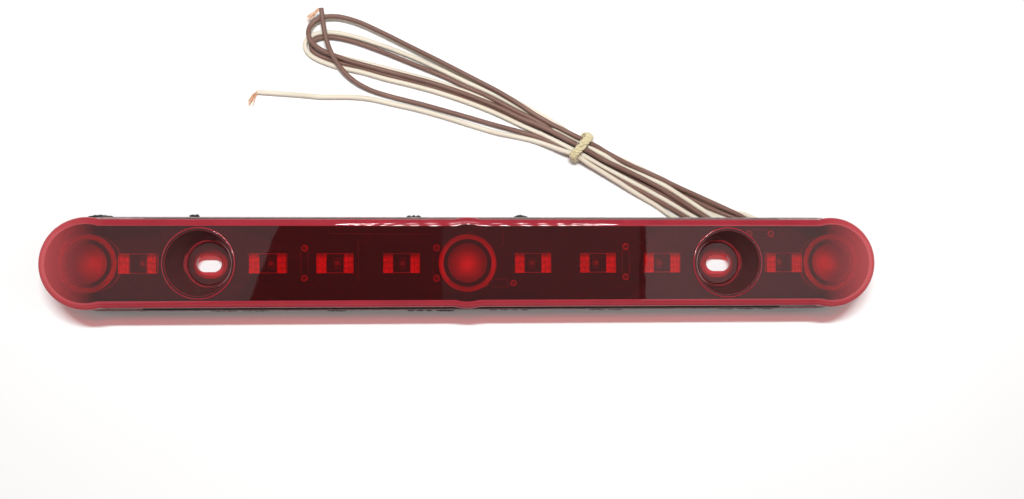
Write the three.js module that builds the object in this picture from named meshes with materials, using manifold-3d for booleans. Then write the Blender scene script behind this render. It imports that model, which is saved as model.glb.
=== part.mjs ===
// Third brake light: a sealed bar lamp with three round optics, eight small optics and two mounting wells.
// Millimetres. X runs along the lamp, Y across it and Z out of the lens. The lamp lies on its back on z = 0,
// with its twin lead folded into a tied hank beside it.
import * as THREE from "three";
import { mergeVertices } from "three/addons/utils/BufferGeometryUtils.js";
import Module from "manifold-3d";

// Overall
const LENGTH = 381;
const DRUM_SPACING = 169.65; // centre to centre of the three round optics
const DRUM_R = 20.85; // the bar's round ends, and a slight bulge at the middle
const BAR_HALF = 20.05; // half the width of the straight sides
const FRONT_Z = 26.5; // outer face of the lens
const GAP = 0.3; // clearance between neighbours
const END_STEPS = 22; // facets of each round end
const BULGE_STEPS = 4;

// Lens
const SKIRT_Z = 7.1; // lower edge of the lens's side wall
const SKIRT_WALL = 2.4;
const INNER_Z = 24; // inner side of the lens's front
const EDGE_ROUND = { inward: 3.2, down: 1.8 }; // the lens's rounded front edge
const TUBE_R = 13.2;
const TUBE_BORE = 10.95;
const TUBE_Z = 15.2; // lower rim of each tube optic
const CONDENSER_R = 9;
const CONDENSER_Z = 20.6;
const OPTIC = { length: 16.6, width: 9.1, block: 4.4, z: 18.4, web: 22.2 };
const OPTIC_XS = [-147.5, -90, -60, -30, 30, 60, 90, 147.5];

// Mounting wells
const WELL_X = 120.25;
const WELL = { lip: 16, mouth: 14.75, floor: 10, lipZ: 27.1, floorZ: 6.5, underZ: 4.5, wall: 1.8 };
const SLOT = { length: 11.6, width: 7.7 };
const BASE_HOLE = { length: 16.4, width: 13.6 };

// Housing
const BASE_HALF = 22;
const BASE_Z = 6.5;
const BASE_ROUND = { inward: 0.7, down: 0.7 };
const BACK = 2.5; // thickness of the back plate
const UPSTAND_Z = 11.7;
const UPSTAND_WALL = 1.5;
const BOSS_R = 13.4;
const BOSS_Z = 9.5;
const POST_R = 2.2;
const PIN_R = 0.8;
const POST_Y = 13;
const POST_XS = [-150, -98, -45, 45, 98, 150];

// Sealant that shows along the straight sides, to half of their length each way
const SEAL = { half: 150, reach: 1.3, rise: 0.5 };

// Pocket in the back for the folds of the lead, and the notch that it leaves by
const POCKET = { x0: 88, x1: 173.5, half: 15.5, shelf: 20.5, z: 7.2, wall: 1.5 };
const NOTCH = { x0: 90, x1: 146, z: 5 };
const GROMMET = { y: 10, z: 5, length: 8.2, height: 4.2, neck: 6.8, neckHeight: 3.4, flange: 1.6 };

// Circuit board
const BOARD_Z = 12;
const BOARD_THICK = 1.6;
const BOARD_TOP = BOARD_Z + BOARD_THICK;
const BOARD_WELL_R = 14;
const LEG_R = 0.4;
const LEG_HOLE_R = 0.65;
const RESISTOR = { span: 14.2, body: 9.4, r: 1.4 };
const DIODE = { span: 13.2, body: 7.6, r: 1.3 };
const SHORT_DIODE = { span: 10.7, body: 5.8, r: 1.1 };

// Lead
const WIRE_R = 1.15;
const WIRE_PITCH = 2.7; // between the two leads in the grommet
const CORE_R = 0.5;
const STRANDS_R = 0.8;
const HANK = { z0: 0.1, z1: 4.7, humpZ: 6.9, neckZ: 1.7 };
const TIE = { x: 54.3, y: 56, turn: -0.49, width: 4.6, thick: 1.2, reach: 8, top: 8.8 };
const TIED = { length: 26, half: 5 }; // the stretch where the tie bunches the leads up

const wasm = await Module();
wasm.setup();

// ---- helpers ----

// A closed three.js geometry as a solid that can be joined and cut.
function solid(geometry) {
  const g = geometry.clone();
  g.deleteAttribute("normal");
  g.deleteAttribute("uv");
  const merged = mergeVertices(g, 1e-4);
  return new wasm.Manifold(
    new wasm.Mesh({
      numProp: 3,
      vertProperties: new Float32Array(merged.attributes.position.array),
      triVerts: new Uint32Array(merged.index.array),
    }),
  );
}

function geometryOf(manifold) {
  const mesh = manifold.getMesh();
  const g = new THREE.BufferGeometry();
  g.setAttribute("position", new THREE.BufferAttribute(new Float32Array(mesh.vertProperties), 3));
  g.setIndex(new THREE.BufferAttribute(new Uint32Array(mesh.triVerts), 1));
  const flat = g.toNonIndexed();
  flat.computeVertexNormals();
  return flat;
}

function box(x0, x1, y0, y1, z0, z1) {
  const g = new THREE.BoxGeometry(x1 - x0, y1 - y0, z1 - z0);
  return solid(g.translate((x0 + x1) / 2, (y0 + y1) / 2, (z0 + z1) / 2));
}

// A turned solid about a Z line through (x, y), from [radius, z] points that go up the outside.
function turned(points, x = 0, y = 0, segments = 32) {
  const profile = points.map(([r, z]) => new THREE.Vector2(r, z));
  const g = new THREE.LatheGeometry(profile, segments);
  g.rotateX(Math.PI / 2);
  return solid(g.translate(x, y, 0));
}

function disc(r, x, y, z0, z1, segments = 32) {
  return turned([[0, z0], [r, z0], [r, z1], [0, z1]], x, y, segments);
}

// An upright extrusion of a shape, from z0 to z1.
function upright(shape, z0, z1, curveSegments = 12) {
  const g = new THREE.ExtrudeGeometry(shape, { depth: z1 - z0, curveSegments, bevelEnabled: false });
  return solid(g.translate(0, 0, z0));
}

// An upright extrusion whose upper edge is rounded.
function roundedUpright(shape, z0, z1, { inward, down }) {
  const g = new THREE.ExtrudeGeometry(shape, {
    depth: z1 - z0,
    bevelThickness: down,
    bevelSize: inward,
    bevelOffset: -inward,
    bevelSegments: 3,
  });
  const body = solid(g.translate(0, 0, z0 - down));
  return body.subtract(box(-LENGTH, LENGTH, -LENGTH, LENGTH, z0 - 3 * down, z0));
}

function arc(x, r, from, to, steps) {
  return Array.from({ length: steps + 1 }, (_, i) => {
    const t = from + ((to - from) * i) / steps;
    return new THREE.Vector2(x + r * Math.cos(t), r * Math.sin(t));
  });
}

// The lamp's outline: a bar with three drums, all moved out by offset.
function barShape(offset) {
  const r = DRUM_R + offset;
  const a = Math.asin((BAR_HALF + offset) / r);
  return new THREE.Shape([
    ...arc(-DRUM_SPACING, r, a, 2 * Math.PI - a, END_STEPS),
    ...arc(0, r, Math.PI + a, 2 * Math.PI - a, BULGE_STEPS),
    ...arc(DRUM_SPACING, r, -Math.PI + a, Math.PI - a, END_STEPS),
    ...arc(0, r, a, Math.PI - a, BULGE_STEPS),
  ]);
}

// A slot shape with round ends, along X.
function stadium(length, width, x = 0, y = 0) {
  const r = width / 2;
  const c = length / 2 - r;
  const s = new THREE.Shape();
  s.absarc(x + c, y, r, -Math.PI / 2, Math.PI / 2, false);
  s.absarc(x - c, y, r, Math.PI / 2, 1.5 * Math.PI, false);
  s.closePath();
  return s;
}

// A closed outline of [x, y] points, smoothed, as a shape.
function smoothShape(points, divisions) {
  const curve = new THREE.CatmullRomCurve3(
    points.map(([x, y]) => new THREE.Vector3(x, y, 0)),
    true,
    "centripetal",
  );
  return new THREE.Shape(curve.getPoints(divisions).slice(0, -1).map((p) => new THREE.Vector2(p.x, p.y)));
}

// A round rod along a curve, with flat ends.
function rod(points, r, steps, sides = 8) {
  const section = new THREE.Shape();
  section.absarc(0, 0, r, 0, 2 * Math.PI, false);
  const curve = new THREE.CatmullRomCurve3(points.map((p) => new THREE.Vector3(...p)), false, "centripetal");
  const g = new THREE.ExtrudeGeometry(section, {
    steps,
    curveSegments: sides / 2,
    extrudePath: curve,
    bevelEnabled: false,
  });
  return solid(g);
}

// ---- finishes ----

function finish(colour, roughness, metalness = 0, extra = {}) {
  return new THREE.MeshStandardMaterial({ color: colour, roughness, metalness, ...extra });
}

const RED_LENS = finish(0xa01428, 0.08, 0, { transparent: true, opacity: 0.6 });
const BLACK_PLASTIC = finish(0x0c0c0e, 0.2);
const SEALANT = finish(0x101010, 0.6);
const BOARD = finish(0x121814, 0.45);
const LED = finish(0xd8d4c4, 0.3);
const RESISTOR_BODY = finish(0xb99c74, 0.5);
const DIODE_BODY = finish(0x1a1a1c, 0.4);
const RUBBER = finish(0x1a1a1a, 0.8);
const BROWN_PVC = finish(0x735242, 0.5);
const WHITE_PVC = finish(0xefe9d8, 0.5);
const PAPER = finish(0xd9cda2, 0.9);
const COPPER = finish(0xc88458, 0.35, 1);

const lamp = new THREE.Group();
const lead = new THREE.Group();
const root = new THREE.Group();
root.add(lamp, lead);

function place(group, name, geometry, material, x = 0, y = 0, z = 0) {
  const mesh = new THREE.Mesh(geometry, material);
  mesh.name = name;
  mesh.position.set(x, y, z);
  group.add(mesh);
  return mesh;
}

// ---- lens ----

// The outer skin of a mounting well, moved out by more, up to topZ.
function wellCone(x, more, z0, topZ) {
  const slope = (WELL.mouth - WELL.floor) / (WELL.lipZ - WELL.floorZ);
  const radius = (z) => WELL.floor + WELL.wall + more + (z - WELL.floorZ) * slope;
  return turned([[0, z0], [radius(z0), z0], [radius(topZ), topZ], [0, topZ]], x);
}

function mountingWell(x) {
  const lip = turned([[0, INNER_Z], [WELL.lip, INNER_Z], [WELL.lip, WELL.lipZ - 0.3],
    [WELL.lip - 0.3, WELL.lipZ], [0, WELL.lipZ]], x);
  return wellCone(x, 0, WELL.underZ, FRONT_Z).add(lip);
}

function wellCut(x) {
  const bowl = turned([[0, WELL.floorZ], [WELL.floor, WELL.floorZ], [WELL.mouth, WELL.lipZ],
    [WELL.mouth, WELL.lipZ + 1], [0, WELL.lipZ + 1]], x);
  const slot = upright(stadium(SLOT.length, SLOT.width, x), 0, WELL.floorZ + 1, 8);
  return bowl.add(slot);
}

function tubeOptic(x) {
  const rim = [[TUBE_BORE, TUBE_Z], [TUBE_R, TUBE_Z], [TUBE_R, INNER_Z + 1], [TUBE_BORE, INNER_Z + 1]];
  const tube = turned([...rim, rim[0]], x);
  const dome = [];
  for (let i = 0; i <= 4; i++) {
    const a = (i / 4) * (Math.PI / 2);
    dome.push([CONDENSER_R * Math.sin(a), INNER_Z - (INNER_Z - CONDENSER_Z) * Math.cos(a)]);
  }
  const condenser = turned([...dome, [CONDENSER_R, INNER_Z + 1], [0, INNER_Z + 1]], x, 0, 24);
  return tube.add(condenser);
}

// Two prism blocks joined by a thin web, under the lens's front.
function barOptic(x) {
  const half = OPTIC.length / 2;
  const prism = new THREE.Shape();
  prism.moveTo(-half, INNER_Z + 1);
  prism.lineTo(-half, OPTIC.z + 1.4);
  prism.lineTo(-half + 1.6, OPTIC.z);
  prism.lineTo(-half + OPTIC.block - 1.2, OPTIC.z);
  prism.lineTo(-half + OPTIC.block, OPTIC.web);
  prism.lineTo(half - OPTIC.block, OPTIC.web);
  prism.lineTo(half - OPTIC.block + 1.2, OPTIC.z);
  prism.lineTo(half - 1.6, OPTIC.z);
  prism.lineTo(half, OPTIC.z + 1.4);
  prism.lineTo(half, INNER_Z + 1);
  prism.closePath();
  const g = new THREE.ExtrudeGeometry(prism, { depth: OPTIC.width, bevelEnabled: false });
  g.rotateX(Math.PI / 2);
  return solid(g.translate(x, OPTIC.width / 2, 0));
}

function makeLens() {
  let body = roundedUpright(barShape(0), SKIRT_Z, FRONT_Z, EDGE_ROUND);
  body = body.subtract(upright(barShape(-SKIRT_WALL), SKIRT_Z - 1, INNER_Z));
  for (const x of [-WELL_X, WELL_X]) body = body.add(mountingWell(x)).subtract(wellCut(x));
  for (const x of [-DRUM_SPACING, 0, DRUM_SPACING]) body = body.add(tubeOptic(x));
  for (const x of OPTIC_XS) body = body.add(barOptic(x));
  place(lamp, "lens", geometryOf(body), RED_LENS);
}

// ---- housing ----

function pocketCut() {
  const room = box(POCKET.x0, POCKET.x1, -POCKET.half, POCKET.half, -1, POCKET.z);
  const shelf = box(POCKET.x0, POCKET.x1, 0, POCKET.shelf, -1, NOTCH.z);
  const notch = box(NOTCH.x0, NOTCH.x1, 0, BASE_HALF + 5, -1, NOTCH.z);
  return room.add(shelf).add(notch);
}

function grommetHole() {
  const { y, z, neck, neckHeight } = GROMMET;
  const half = neck / 2 + GAP;
  const tall = neckHeight / 2 + GAP;
  return box(POCKET.x1 - 1, POCKET.x1 + POCKET.wall + 1, y - half, y + half, z - tall, z + tall);
}

function makeHousing() {
  const upstand = -SKIRT_WALL - GAP;
  const w = POCKET.wall;
  let body = roundedUpright(stadium(LENGTH, 2 * BASE_HALF), 0, BASE_Z, BASE_ROUND);
  body = body.add(upright(barShape(upstand), 0, UPSTAND_Z));
  body = body.subtract(upright(barShape(upstand - UPSTAND_WALL), BACK, UPSTAND_Z + 1));
  const block = box(POCKET.x0 - w, POCKET.x1 + w, -BAR_HALF, BAR_HALF, 0, POCKET.z + w);
  body = body.add(block.intersect(upright(barShape(upstand - UPSTAND_WALL / 2), 0, FRONT_Z)));
  for (const x of POST_XS) {
    for (const y of [-POST_Y, POST_Y]) {
      body = body.add(disc(POST_R, x, y, 1, UPSTAND_Z, 10));
      body = body.add(disc(PIN_R, x, y, 1, BOARD_TOP, 8));
    }
  }
  body = body.subtract(pocketCut());
  for (const x of [-WELL_X, WELL_X]) {
    const boss = turned([[0, 0], [BOSS_R, 0], [BOSS_R, WELL.underZ], [BOSS_R + 0.9, BOSS_Z], [0, BOSS_Z]], x);
    body = body.add(boss).subtract(wellCone(x, GAP, WELL.underZ - GAP, BOSS_Z + 1));
    body = body.subtract(upright(stadium(BASE_HOLE.length, BASE_HOLE.width, x), -1, WELL.underZ, 8));
  }
  body = body.subtract(grommetHole());
  place(lamp, "housing", geometryOf(body), BLACK_PLASTIC);
}

// A strip along one straight side, from x0 to x1 and from near to far beyond the side's face.
function sideStrip(side, x0, x1, near, far, z0, z1) {
  const [y0, y1] = [side * (BAR_HALF + near), side * (BAR_HALF + far)].sort((a, b) => a - b);
  return box(x0, x1, y0, y1, z0, z1);
}

// A flat bead under the lens's skirt, with a lip that shows along the two straight sides.
function makeSeal() {
  const z0 = BASE_Z + 0.05;
  const z1 = SKIRT_Z - 0.05;
  const inner = -SKIRT_WALL + 0.2;
  let body = upright(barShape(-0.1), z0, z1).subtract(upright(barShape(inner), z0 - 1, z1 + 1));
  for (const side of [-1, 1]) {
    body = body.add(sideStrip(side, -SEAL.half, SEAL.half, -1, SEAL.reach, z0, z1));
    body = body.add(sideStrip(side, -SEAL.half, -DRUM_R, GAP, SEAL.reach, z0, z1 + SEAL.rise));
    body = body.add(sideStrip(side, DRUM_R, SEAL.half, GAP, SEAL.reach, z0, z1 + SEAL.rise));
  }
  place(lamp, "seal_bead", geometryOf(body), SEALANT);
}

// ---- electronics ----

// Parts with two legs. Each has its middle at (x, y) and lies along X or along Y.
const AXIAL_PARTS = [
  { name: "resistor_left", kind: RESISTOR, x: -75.2, y: 0.1, alongX: false, material: RESISTOR_BODY },
  { name: "resistor_centre", kind: RESISTOR, x: -14.4, y: 0.1, alongX: false, material: RESISTOR_BODY },
  { name: "resistor_right", kind: RESISTOR, x: 74.3, y: 0.6, alongX: false, material: RESISTOR_BODY },
  { name: "diode_centre", kind: DIODE, x: 14.9, y: -9.7, alongX: true, material: DIODE_BODY },
  { name: "diode_right", kind: SHORT_DIODE, x: 138.9, y: 13.9, alongX: true, material: DIODE_BODY },
];
const LEAD_X = 179.5; // where the leads come up to the board

function legPlaces(part) {
  const h = part.kind.span / 2;
  return [-h, h].map((d) => (part.alongX ? [part.x + d, part.y] : [part.x, part.y + d]));
}

function leadYs() {
  return { brown: GROMMET.y + WIRE_PITCH / 2, white: GROMMET.y - WIRE_PITCH / 2 };
}

function makeBoard() {
  let body = upright(barShape(-SKIRT_WALL - 0.45), BOARD_Z, BOARD_TOP);
  for (const x of [-WELL_X, WELL_X]) body = body.subtract(disc(BOARD_WELL_R, x, 0, 0, FRONT_Z));
  for (const x of POST_XS) {
    for (const y of [-POST_Y, POST_Y]) body = body.subtract(disc(PIN_R + GAP, x, y, 0, FRONT_Z, 8));
  }
  for (const [x, y] of AXIAL_PARTS.flatMap(legPlaces)) {
    body = body.subtract(disc(LEG_HOLE_R, x, y, 0, FRONT_Z, 6));
  }
  for (const y of Object.values(leadYs())) body = body.subtract(disc(CORE_R + 0.3, LEAD_X, y, 0, FRONT_Z, 6));
  place(lamp, "circuit_board", geometryOf(body), BOARD);
}

// A square package with a clear dome, standing on the board.
function ledGeometry(side, tall, domeR) {
  const foot = solid(new THREE.BoxGeometry(side, side, tall).translate(0, 0, tall / 2));
  const dome = [[0, tall / 2], [domeR, tall / 2]];
  for (let i = 0; i <= 3; i++) {
    const a = (i / 3) * (Math.PI / 2);
    dome.push([domeR * Math.cos(a), tall + domeR * Math.sin(a)]);
  }
  return geometryOf(foot.add(turned(dome, 0, 0, 12)));
}

function makeLeds() {
  const main = ledGeometry(5, 1.4, 2);
  const small = ledGeometry(3.2, 1, 1.1);
  const z = BOARD_TOP + 0.05;
  place(lamp, "main_led_left", main, LED, -DRUM_SPACING, 0, z);
  place(lamp, "main_led_centre", main, LED, 0, 0, z);
  place(lamp, "main_led_right", main, LED, DRUM_SPACING, 0, z);
  OPTIC_XS.forEach((x, i) => place(lamp, `small_led_${i + 1}`, small, LED, x, 0, z));
}

// A solid profile turned about X, from [x, radius] points.
function barrelAlongX(points, z) {
  const profile = points.map(([x, r]) => new THREE.Vector2(r, x));
  const g = new THREE.LatheGeometry(profile, 12);
  g.rotateZ(-Math.PI / 2);
  return solid(g.translate(0, 0, z));
}

// A bead of solder standing on the board at (x, y).
function solderBead(r, tall, x, y, segments) {
  const z = BOARD_TOP + 0.05;
  return turned([[0, z], [r, z], [0.7 * r, z + 0.55 * tall], [0, z + tall]], x, y, segments);
}

// A body with a wire leg at each end. The legs go up through the board to a bead of solder.
function makeAxialPart({ name, kind, x, y, alongX, material }) {
  const { span, body, r } = kind;
  const z = BOARD_Z - 0.2 - r;
  const half = body / 2;
  const waist = 0.92 * r;
  let made = barrelAlongX(
    [[-half, 0], [-half + 0.3, r], [-half / 2, waist], [half / 2, waist], [half - 0.3, r], [half, 0]],
    z,
  );
  for (const side of [-1, 1]) {
    const end = (side * span) / 2;
    const path = [[side, 0, z], [end - side * 0.8, 0, z], [end, 0, z + 0.8], [end, 0, BOARD_TOP + 0.3]];
    made = made.add(rod(path, LEG_R, 6, 6)).add(solderBead(0.95, 0.75, end, 0, 8));
  }
  const mesh = place(lamp, name, geometryOf(made), material, x, y, 0);
  if (!alongX) mesh.rotation.z = Math.PI / 2;
}

// ---- lead ----

// A rubber block in the end wall of the pocket, with a flange on each side and a hole for each lead.
function makeGrommet() {
  const { y, z, length, height, neck, neckHeight, flange } = GROMMET;
  const slice = (long, tall, x0, x1) => {
    const options = { depth: x1 - x0, curveSegments: 4, bevelEnabled: false };
    const g = new THREE.ExtrudeGeometry(stadium(long, tall), options);
    g.rotateX(Math.PI / 2);
    g.rotateZ(Math.PI / 2);
    return solid(g.translate(x0, y, z));
  };
  const inner = POCKET.x1 - GAP;
  const outer = POCKET.x1 + POCKET.wall + GAP;
  let body = slice(length, height, inner - flange, inner);
  body = body.add(slice(length, height, outer, outer + flange));
  body = body.add(slice(neck, neckHeight, inner - 0.5, outer + 0.5));
  for (const at of Object.values(leadYs())) {
    const hole = new THREE.CylinderGeometry(WIRE_R + 0.2, WIRE_R + 0.2, 20, 8);
    hole.rotateZ(Math.PI / 2);
    body = body.subtract(solid(hole.translate(POCKET.x1, at, z)));
  }
  place(lamp, "lead_grommet", geometryOf(body), RUBBER);
}

// The stretch of a lead from the grommet's face to its solder joint on the board.
function makeInnerLead(name, y, material) {
  const x0 = POCKET.x1 - GAP - GROMMET.flange;
  const z = GROMMET.z;
  const turn = 3;
  const wire = rod([[x0, y, z], [x0 + 3, y, z], [LEAD_X - turn, y, z], [LEAD_X - 0.9, y, z + 0.9],
    [LEAD_X, y, z + turn], [LEAD_X, y, BOARD_Z - 1]], WIRE_R, 12);
  const core = disc(CORE_R, LEAD_X, y, BOARD_Z - 2, BOARD_TOP + 0.3, 8);
  const solder = solderBead(1.2, 0.85, LEAD_X, y, 12);
  place(lamp, name, geometryOf(wire.add(core).add(solder)), material);
}

// Outline of the folded twin, seen from above: along its upper side, round its hidden folds in the
// pocket, back along its lower side and round its outer loops.
const HANK_OUTLINE = [
  [-68, 119.5], [-58, 119], [-38, 111], [-11, 97.5], [15, 84.5], [36, 71.5], [54, 61.5], [75, 50.5],
  [104, 37], [122, 29.5], [134, 24], [142, 20.6], [150, 19], [159, 16.5], [162.5, 11], [160, 5.5],
  [150, 3], [139, 5.5], [133, 11.5], [124, 15], [110, 14.5], [99, 18.5], [84, 31.5], [69, 40.5],
  [50, 52], [36, 57.5], [28, 60],
  [24, 66], [10, 72.5], [-17, 81.5], [-39, 86.5], [-63, 92], [-75, 97.5], [-79, 103], [-78.5, 110],
  [-75, 117],
];

// The stretch that lies over the folds on its way to the grommet.
const EXIT_RUN = [[132, 15], [150, 12.5], [168, 12.5], [168, 7.5], [150, 7.5], [136, 10]];

function makeHank() {
  let body = upright(smoothShape(HANK_OUTLINE, 64), HANK.z0, HANK.z1);
  const run = new THREE.Shape(EXIT_RUN.map(([x, y]) => new THREE.Vector2(x, y)));
  body = body.add(upright(run, HANK.z1 - 1, HANK.humpZ - 0.4));
  const bunchTop = TIE.top - TIE.thick - GAP;
  const bunch = new THREE.BoxGeometry(TIED.length, 2 * TIED.half, bunchTop - 1);
  bunch.rotateZ(TIE.turn);
  body = body.add(solid(bunch.translate(TIE.x, TIE.y, (bunchTop + 1) / 2)));
  const neck = new THREE.BoxGeometry(TIE.width + 2 * GAP, 4 * TIE.reach, 2 * HANK.neckZ);
  neck.rotateZ(TIE.turn);
  body = body.subtract(solid(neck.translate(TIE.x, TIE.y, 0)));
  place(lead, "lead_hank", geometryOf(body), BROWN_PVC);
}

// The free ends of the two leads, [x, y, z], from the hank to where each is stripped.
const BROWN_END = [
  [23.5, 64, 1.2], [14, 66.5, 1.2], [-2, 71, 1.2], [-22, 76.5, 1.2], [-36, 79.8, 1.2], [-46, 82.5, 2],
  [-53, 86, 4], [-58, 90, 5.9], [-62, 95, 6.4], [-65.5, 101.5, 6.4], [-67.5, 108, 6.4], [-68.5, 115, 6.4],
  [-69, 121, 6.2],
];
const WHITE_END = [
  [23.5, 61, 1.2], [14, 62.8, 1.2], [0, 67, 1.2], [-12, 70.8, 1.2], [-25, 74.3, 1.2], [-38, 77, 1.2],
  [-46, 79, 1.2], [-53, 79.8, 1.2], [-62, 79.7, 1.2], [-70, 79.4, 1.2], [-78, 80.4, 1.2], [-92, 81.2, 1.2],
  [-99.5, 81.7, 1.2],
];

function makeLeadEnds() {
  place(lead, "brown_lead_end", geometryOf(rod(BROWN_END, WIRE_R, 30)), BROWN_PVC);
  place(lead, "white_lead_end", geometryOf(rod(WHITE_END, WIRE_R, 28)), WHITE_PVC);
}

// The bare strands of each lead, bunched.
const BROWN_STRANDS = [
  [-69.4, 122.4, 6.2], [-70.4, 122.4, 6.1], [-71.8, 120.6, 6], [-73.4, 118.2, 5.9], [-74.6, 115.8, 5.9],
];
const WHITE_STRANDS = [[-101, 81.9, 1.3], [-102.2, 81.2, 1.3], [-102.8, 79.4, 1.2], [-102.6, 75.6, 1.1]];

function makeStrands() {
  place(lead, "brown_strands", geometryOf(rod(BROWN_STRANDS, STRANDS_R, 8)), COPPER);
  place(lead, "white_strands", geometryOf(rod(WHITE_STRANDS, STRANDS_R, 8)), COPPER);
}

// A closed band round the hank, square to its run.
function makeTie() {
  const { x, y, turn, width, thick, reach, top } = TIE;
  const ring = (s, half, z0, z1) => {
    const c = 1.2;
    s.moveTo(-half + c, z0);
    s.lineTo(half - c, z0);
    s.lineTo(half, z0 + c);
    s.lineTo(half, z1 - c);
    s.lineTo(half - c, z1);
    s.lineTo(-half + c, z1);
    s.lineTo(-half, z1 - c);
    s.lineTo(-half, z0 + c);
    s.closePath();
    return s;
  };
  const outer = ring(new THREE.Shape(), reach, 0.05, top);
  outer.holes.push(ring(new THREE.Path(), reach - thick, 0.05 + thick, top - thick));
  const g = new THREE.ExtrudeGeometry(outer, { depth: width, bevelEnabled: false });
  g.translate(0, 0, -width / 2);
  g.rotateX(Math.PI / 2);
  g.rotateZ(turn + Math.PI / 2);
  place(lead, "lead_tie", geometryOf(solid(g)), PAPER, x, y, 0);
}

makeLens();
makeHousing();
makeSeal();
makeBoard();
makeLeds();
AXIAL_PARTS.forEach(makeAxialPart);
makeGrommet();
makeInnerLead("brown_inner_lead", leadYs().brown, BROWN_PVC);
makeInnerLead("white_inner_lead", leadYs().white, WHITE_PVC);
makeHank();
makeLeadEnds();
makeStrands();
makeTie();

export default root;
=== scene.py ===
"""Third brake light: the looks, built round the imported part. Metres, in the part's own frame."""

import math
import random

import bpy
import numpy as np
from mathutils import Matrix, Vector


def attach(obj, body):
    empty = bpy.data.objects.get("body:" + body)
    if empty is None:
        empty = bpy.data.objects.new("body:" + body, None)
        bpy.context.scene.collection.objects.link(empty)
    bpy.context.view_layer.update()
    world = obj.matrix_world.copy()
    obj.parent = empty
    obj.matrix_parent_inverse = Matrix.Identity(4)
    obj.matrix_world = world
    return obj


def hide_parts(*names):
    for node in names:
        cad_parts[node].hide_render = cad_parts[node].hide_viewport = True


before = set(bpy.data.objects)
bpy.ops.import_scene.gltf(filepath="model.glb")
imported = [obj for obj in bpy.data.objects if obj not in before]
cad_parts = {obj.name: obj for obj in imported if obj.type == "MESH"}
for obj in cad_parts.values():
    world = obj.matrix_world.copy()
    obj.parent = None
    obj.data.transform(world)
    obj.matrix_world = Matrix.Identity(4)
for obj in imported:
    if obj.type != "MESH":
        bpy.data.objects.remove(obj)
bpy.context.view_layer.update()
MM = 0.001
rng = random.Random(11)

# All in mm.
DRUM_SPACING = 169.65  # between the round optics
GLOW_SPACING = 166.6  # between the brightest spots of the glow painted in them
WELL_X = 120.25  # from the lamp's middle to each screw well
WIRE_R = 1.15  # outside radius of each lead
TIE_AT = (54.3, 56.0)
TIE_ANGLE = -0.49
TIE_RUN = (math.cos(TIE_ANGLE), math.sin(TIE_ANGLE))  # the way that the tied leads run
TIED_HALF = 4.7  # half the width of the bunch that the tie holds, to the leads' middles


# ---- camera ----


def make_camera():
    """A camera almost straight above the lamp, with its picture shifted sideways."""
    data = bpy.data.cameras.new("camera")
    data.lens = 37.55
    data.sensor_width = 36
    data.shift_x = -0.0322
    data.clip_start = 0.01
    data.clip_end = 20
    camera = bpy.data.objects.new("camera", data)
    camera.location = (0.00159, -0.00661, 0.5143)
    camera.rotation_euler = [math.radians(a) for a in (1.4945, -3.9558, -0.1553)]
    bpy.context.scene.collection.objects.link(camera)
    bpy.context.scene.camera = camera


# ---- leads ----

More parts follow.
